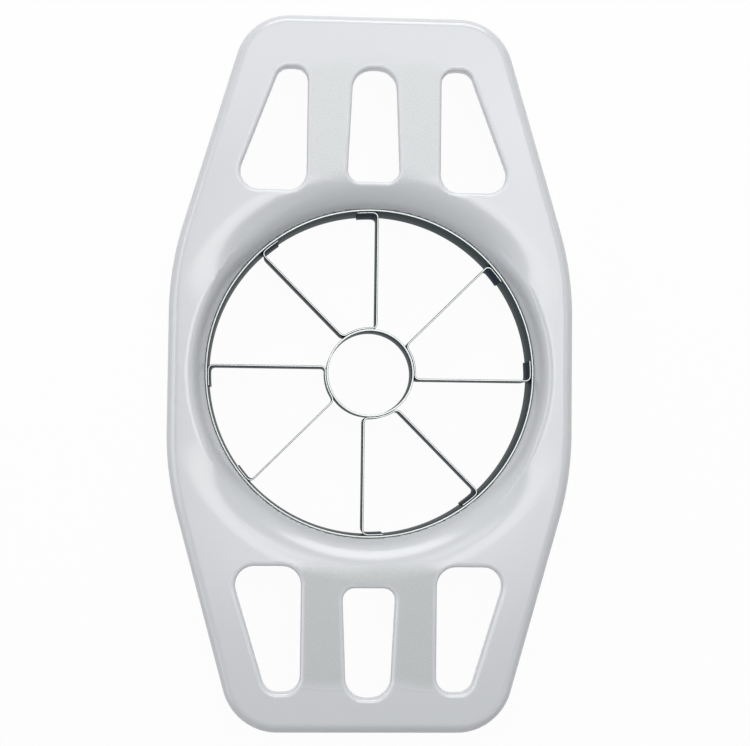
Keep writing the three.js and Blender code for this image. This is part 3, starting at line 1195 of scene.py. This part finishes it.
@dataclass
class BladeRing(SlicerSizes):
    """Steel band, core ring and four bent strips, and the plastic ring that holds them up."""

    flange_width: float = 2.8
    band_edge_round: float = 0.12
    core_radius: float = 11.3
    core_foot: float = 0.5
    core_rise: float = 0.2
    strip_thickness: float = 0.45
    strip_foot: float = 0.8
    strip_drop: float = 0.8
    strip_bend: float = 1.4
    strip_edge_round: float = 0.15
    blade_offset: float = 1.5
    tab_length: float = 5.2
    grind_height: float = 1.6
    cutting_edge: float = 0.08
    retainer_wall: float = 2.2
    retainer_rise: float = 6.0
    retainer_round: float = 0.5
    weld_gap: float = 0.03
    ring_steps: int = 288
    round_steps: int = 4
    bend_steps: int = 10
    wrap_steps: int = 24
    tab_steps: int = 6
    strips: int = 4

    def __post_init__(self) -> None:
        """Works out the sizes that follow from the others."""
        self.strip_top = self.band_top - self.strip_drop
        self.grind_top = self.strip_foot + self.grind_height
        self.tab_radius = self.opening_radius - self.weld_gap - self.strip_thickness / 2
        self.wrap_radius = self.core_radius + self.weld_gap + self.strip_thickness / 2
        self.wedge = math.pi / self.strips
        self.sweeper = SweptSteel()

    def _circle(self, radius: float) -> list[Point2]:
        """Points of a full circle, counter-clockwise."""
        angles = [2 * math.pi * i / self.ring_steps for i in range(self.ring_steps)]
        return [(radius * math.cos(a), radius * math.sin(a)) for a in angles]

    def _turned(
        self, name: str, corners: Sequence[Corner], node: str, slot: Slot, finish: bpy.types.Material
    ) -> None:
        """Makes a ring from its section and dresses it.

        Args:
            name: The piece's name.
            corners: Corners of the section, as radius and height.
            node: The node that it stands for.
            slot: Not used.
            finish: Its material.
        """
        base = min(corner.x for corner in corners)
        outline = rounded_outline(corners, self.round_steps)
        section = [(x - base, z) for x, z in outline]
        piece = self.sweeper.sweep(
            name, self._circle(base), section, True, 0.0, self.middle_y, finish
        )
        dress(piece, node, finish)

    def band(self, finish: bpy.types.Material) -> None:
        """Makes the band, with its flange and its rounded top edge.

        Args:
            finish: Its material.
        """
        inner = self.opening_radius
        outer = inner + self.steel_thickness
        flange = outer + self.flange_width
        top_of_flange = self.band_foot + self.steel_thickness
        corners = [
            Corner(inner, self.band_foot, self.band_edge_round),
            Corner(flange, self.band_foot),
            Corner(flange, top_of_flange),
            Corner(outer, top_of_flange, self.band_edge_round),
            Corner(outer, self.band_top, self.band_edge_round),
            Corner(inner, self.band_top, self.band_edge_round),
        ]
        self._turned("steel_band", corners, "outer_band", Slot.BAND, finish)

    def core(self, finish: bpy.types.Material) -> None:
        """Makes the core ring, ground from inside to an edge at its foot.

        Args:
            finish: Its material.
        """
        inner = self.core_radius - self.steel_thickness
        top = self.strip_top + self.core_rise
        corners = [
            Corner(self.core_radius - self.cutting_edge, self.core_foot),
            Corner(self.core_radius, self.core_foot),
            Corner(self.core_radius, top, self.strip_edge_round),
            Corner(inner, top, self.strip_edge_round),
            Corner(inner, self.core_foot + self.grind_height),
        ]
        self._turned("core_tube", corners, "core_ring", Slot.BLADE, finish)

    def retainer(self, finish: bpy.types.Material) -> None:
        """Makes the ring that holds the flange up, with its snap bead.

        Args:
            finish: Its material.
        """
        bore = self.opening_radius + self.steel_thickness + self.fit_gap
        seat = bore + self.wall + self.fit_gap
        outer = seat + self.retainer_wall
        top = self.band_foot + self.retainer_rise
        soft = self.retainer_round
        corners = [
            Corner(bore, 0, soft),
            Corner(outer, 0, soft),
            Corner(outer, top, soft),
            Corner(seat, top, soft),
            Corner(seat, self.snap_level + self.snap_half_height),
            Corner(seat - self.snap_depth, self.snap_level),
            Corner(seat, self.snap_level - self.snap_half_height),
            Corner(seat, self.band_foot),
            Corner(bore, self.band_foot, soft),
        ]
        self._turned("retaining_ring_cover", corners, "retaining_ring", Slot.RING, finish)

    def _blade_point(self, angle: float, radius: float) -> Vector:
        """Point of a blade, whose line passes the middle on its clockwise side.

        Args:
            angle: The blade's direction.
            radius: Distance of the point from the middle.

        Returns:
            The point.
        """
        along = math.sqrt(radius ** 2 - self.blade_offset ** 2)
        return Matrix.Rotation(angle, 2) @ Vector((along, -self.blade_offset))

    @staticmethod
    def _arc(radius: float, start: float, end: float, steps: int) -> list[Vector]:
        """Points of an arc round the middle.

        Args:
            radius: Its radius.
            start: Angle of its first point.
            end: Angle of its last point.
            steps: Its steps.

        Returns:
            The points.
        """
        angles = [start + (end - start) * i / steps for i in range(steps + 1)]
        return [Vector((radius * math.cos(a), radius * math.sin(a))) for a in angles]

    def _bend(self, start: Vector, corner: Vector, end: Vector) -> list[Vector]:
        """Inner points of a smooth bend from start to end that cuts a corner."""
        shares = [i / self.bend_steps for i in range(1, self.bend_steps)]
        return [start * (1 - t) ** 2 + corner * 2 * t * (1 - t) + end * t ** 2 for t in shares]

    def _blade(self, angle: float, hand: int, wrap_end: Vector) -> list[Vector]:
        """Points of a foot and its blade, up to the wrap.

        Args:
            angle: The blade's direction.
            hand: Side that the foot is bent to, 1 for counter-clockwise.
            wrap_end: The wrap's nearer end.

        Returns:
            The points, from the foot's end inward, without that of the wrap.
        """
        corner, turn_in, outer, inner = (
            self._blade_point(angle, radius)
            for radius in (
                self.tab_radius,
                self.wrap_radius,
                self.tab_radius - self.strip_bend,
                self.wrap_radius + self.strip_bend,
            )
        )
        at = math.atan2(corner.y, corner.x)
        far, near = (
            at + hand * length / self.tab_radius for length in (self.tab_length, self.strip_bend)
        )
        foot = self._arc(self.tab_radius, far, near, self.tab_steps)
        bend = self._bend(foot[-1], corner, outer)
        return [*foot, *bend, outer, inner, *self._bend(inner, turn_in, wrap_end)]

    def strip_path(self) -> list[Point2]:
        """Middle line of a strip: foot, blade, wrap round the core, blade, foot.

        Returns:
            The points in plan.
        """
        ends = ((0.0, 1), (self.wedge, -1))
        corners = [self._blade_point(angle, self.wrap_radius) for angle, _ in ends]
        turns = [
            math.atan2(corner.y, corner.x) + hand * self.strip_bend / self.wrap_radius
            for corner, (_, hand) in zip(corners, ends)
        ]
        wrap = self._arc(self.wrap_radius, *turns, self.wrap_steps)
        first, second = (self._blade(*end, wrap[i]) for end, i in zip(ends, (0, -1)))
        return [(point.x, point.y) for point in (*first, *wrap, *reversed(second))]

    def strip_section(self) -> list[Point2]:
        """Section of a strip, ground to an edge at its foot.

        Returns:
            Closed section, as distance from its middle line and height.
        """
        half = self.strip_thickness / 2
        edge = self.cutting_edge / 2
        corners = [
            Corner(-edge, self.strip_foot),
            Corner(edge, self.strip_foot),
            Corner(half, self.grind_top),
            Corner(half, self.strip_top, self.strip_edge_round),
            Corner(-half, self.strip_top, self.strip_edge_round),
            Corner(-half, self.grind_top),
        ]
        return rounded_outline(corners, self.round_steps)

    def blades(self, finish: bpy.types.Material) -> None:
        """Makes the four strips.

        Args:
            finish: Their material.
        """
        path, section = self.strip_path(), self.strip_section()
        for number in range(self.strips):
            name = f"bent_strip_{number + 1}"
            turn = 2 * self.wedge * number
            piece = self.sweeper.sweep(name, path, section, False, turn, self.middle_y, finish)
            dress(piece, f"blade_strip_{number + 1}", finish)


@dataclass(frozen=True)
class SoftLamp:
    """Soft lamp of the studio, with its place, what it points at, its sides and its power."""

    name: str
    place: Point3
    aim: Point3
    sides: Point2
    watts: float
    colour: Colour = (1.0, 1.0, 1.0)

    def hang(self) -> None:
        """Hangs the lamp."""
        data = bpy.data.lights.new(self.name, "AREA")
        data.shape = "RECTANGLE"
        data.size, data.size_y = (side * MM for side in self.sides)
        data.energy = self.watts
        data.color = self.colour
        linked(self.name, data).matrix_world = looking(self.place, self.aim, 0.0)


def looking(place: Sequence[float], aim: Sequence[float], roll: float) -> Matrix:
    """Matrix of something that looks at a point, with the part's top end up in its view.

    Args:
        place: Where it is.
        aim: Where it looks.
        roll: Turn about its own axis.

    Returns:
        The matrix, in metres.
    """
    start = Vector(place) * MM
    back = (start - Vector(aim) * MM).normalized()
    right = Vector((0, 1, 0)).cross(back).normalized()
    turn = Matrix((right, back.cross(right), back)).transposed().to_4x4()
    return Matrix.Translation(start) @ turn @ Matrix.Rotation(roll, 4, "Z")


@dataclass
class Studio:
    """Pale floor, soft lamps and the camera of the photograph."""

    floor_half_width: float = 4000.0
    floor_drop: float = 0.3
    floor_colour: Colour = (0.9, 0.9, 0.9)
    white_share: float = 0.96
    sky_level: float = 0.16
    sky_colour: Colour = (0.92, 0.96, 1.0)
    camera_place: Point3 = (-19.7, -18.7, 392.9)
    camera_aim: Point3 = (1.04, -0.41, 16.0)
    camera_roll: float = 0.0115
    lens: float = 71.22
    sensor: float = 36.0
    lamps: tuple[SoftLamp, ...] = (
        SoftLamp("softbox_above", (30, 10, 520), (30, 10, 0), (200, 220), 0.43, (1.0, 0.99, 0.97)),
        SoftLamp("softbox_over_top", (10, 230, 480), (10, 60, 0), (300, 160), 0.27),
        SoftLamp("softbox_right", (130, 70, 520), (130, 70, 0), (90, 260), 0.17),
        SoftLamp("softbox_low_right", (420, -380, 420), (0, 0, 0), (420, 300), 0.3, (0.95, 0.97, 1.0)),
        SoftLamp("lamp_left", (-430, 70, 430), (0, 0, 0), (160, 420), 0.5),
        SoftLamp("lamp_right", (430, 70, 430), (0, 0, 0), (160, 420), 0.15),
        SoftLamp("lamp_beyond_top", (30, 520, 300), (0, 20, 0), (480, 240), 1.35),
        SoftLamp("fill_left", (-800, -200, 380), (0, 0, 0), (200, 700), 0.8, (0.93, 0.96, 1.0)),
    )

    def floor(self) -> None:
        """Lays the floor."""
        reach = self.floor_half_width
        signs = ((-1, -1), (1, -1), (1, 1), (-1, 1))
        points = [(across * reach, along * reach, -self.floor_drop) for across, along in signs]
        plane = mesh_object("studio_floor", points, [(0, 1, 2, 3)])
        material, tree = new_shader("studio_floor_white")
        diffuse = tree.add("ShaderNodeBsdfDiffuse", inputs={"Color": (*self.floor_colour, 1.0)})
        white = tree.add("ShaderNodeEmission", inputs={"Color": (1, 1, 1, 1), "Strength": 1.0})
        share = self._seen(tree) * self.white_share
        mixed = tree.add("ShaderNodeMixShader", inputs={0: share, 1: diffuse, 2: white})
        tree.add("ShaderNodeOutputMaterial", inputs={"Surface": mixed})
        plane.data.materials.append(material)

    @staticmethod
    def _seen(tree: NodeTree) -> Value:
        """Tells whether a ray comes from the camera, off metal or through glass.

        Args:
            tree: The tree.

        Returns:
            1 for such a ray and 0 otherwise.
        """
        camera = tree.add("ShaderNodeLightPath", output="Is Camera Ray")
        glossy = tree.output_of(camera, "Is Glossy Ray")
        return camera | glossy | tree.output_of(camera, "Is Transmission Ray")

    def sky(self) -> None:
        """Lights the scene evenly, and is white to the camera and in reflections."""
        world = bpy.data.worlds.new("studio_sky")
        bpy.context.scene.world = world
        world.use_nodes = True
        world.node_tree.nodes.clear()
        tree = NodeTree(world.node_tree)
        level = self._seen(tree) * (1.0 - self.sky_level) + self.sky_level
        shine = tree.add(
            "ShaderNodeBackground", inputs={"Color": (*self.sky_colour, 1.0), "Strength": level}
        )
        tree.add("ShaderNodeOutputWorld", inputs={"Surface": shine})

    def camera(self) -> None:
        """Sets the photograph's camera."""
        data = bpy.data.cameras.new("photo_camera")
        data.lens = self.lens
        data.sensor_width = self.sensor
        camera = linked("photo_camera", data)
        camera.matrix_world = looking(self.camera_place, self.camera_aim, self.camera_roll)
        bpy.context.scene.camera = camera

    def build(self) -> None:
        """Sets up the whole studio."""
        self.floor()
        self.sky()
        for lamp in self.lamps:
            lamp.hang()
        self.camera()
        bpy.context.scene.view_settings.view_transform = "Standard"


def main() -> None:
    """Builds every piece and the studio, and reports them."""
    logging.basicConfig(level=logging.INFO, format="%(name)s: %(message)s")
    white = MouldedPlastic("white_moulded_plastic", grip_half_width=17.8).material()
    white_ring = MouldedPlastic("white_ring_plastic", roughness=0.3).material()
    MouldedFrame().build(white)
    ring = BladeRing()
    # Blade steel: a thin painted highlight along the top edge, with painted shade under it.
    blade = StripSteel(
        "rolled_blade_steel",
        ring.strip_top,
        ring.grind_top,
        face=(0.25, 0.27, 0.285),
        stain=(0.12, 0.13, 0.145),
        tint=(0.11, 0.125, 0.14),
        rim=0.012,
        rim_fade=0.008,
    ).material()
    band = StripSteel("rolled_band_steel", ring.band_top, roughness=0.34).material()
    ring.band(band)
    ring.core(blade)
    ring.retainer(white_ring)
    ring.blades(blade)
    Studio().build()


if __name__ == "__main__":
    main()
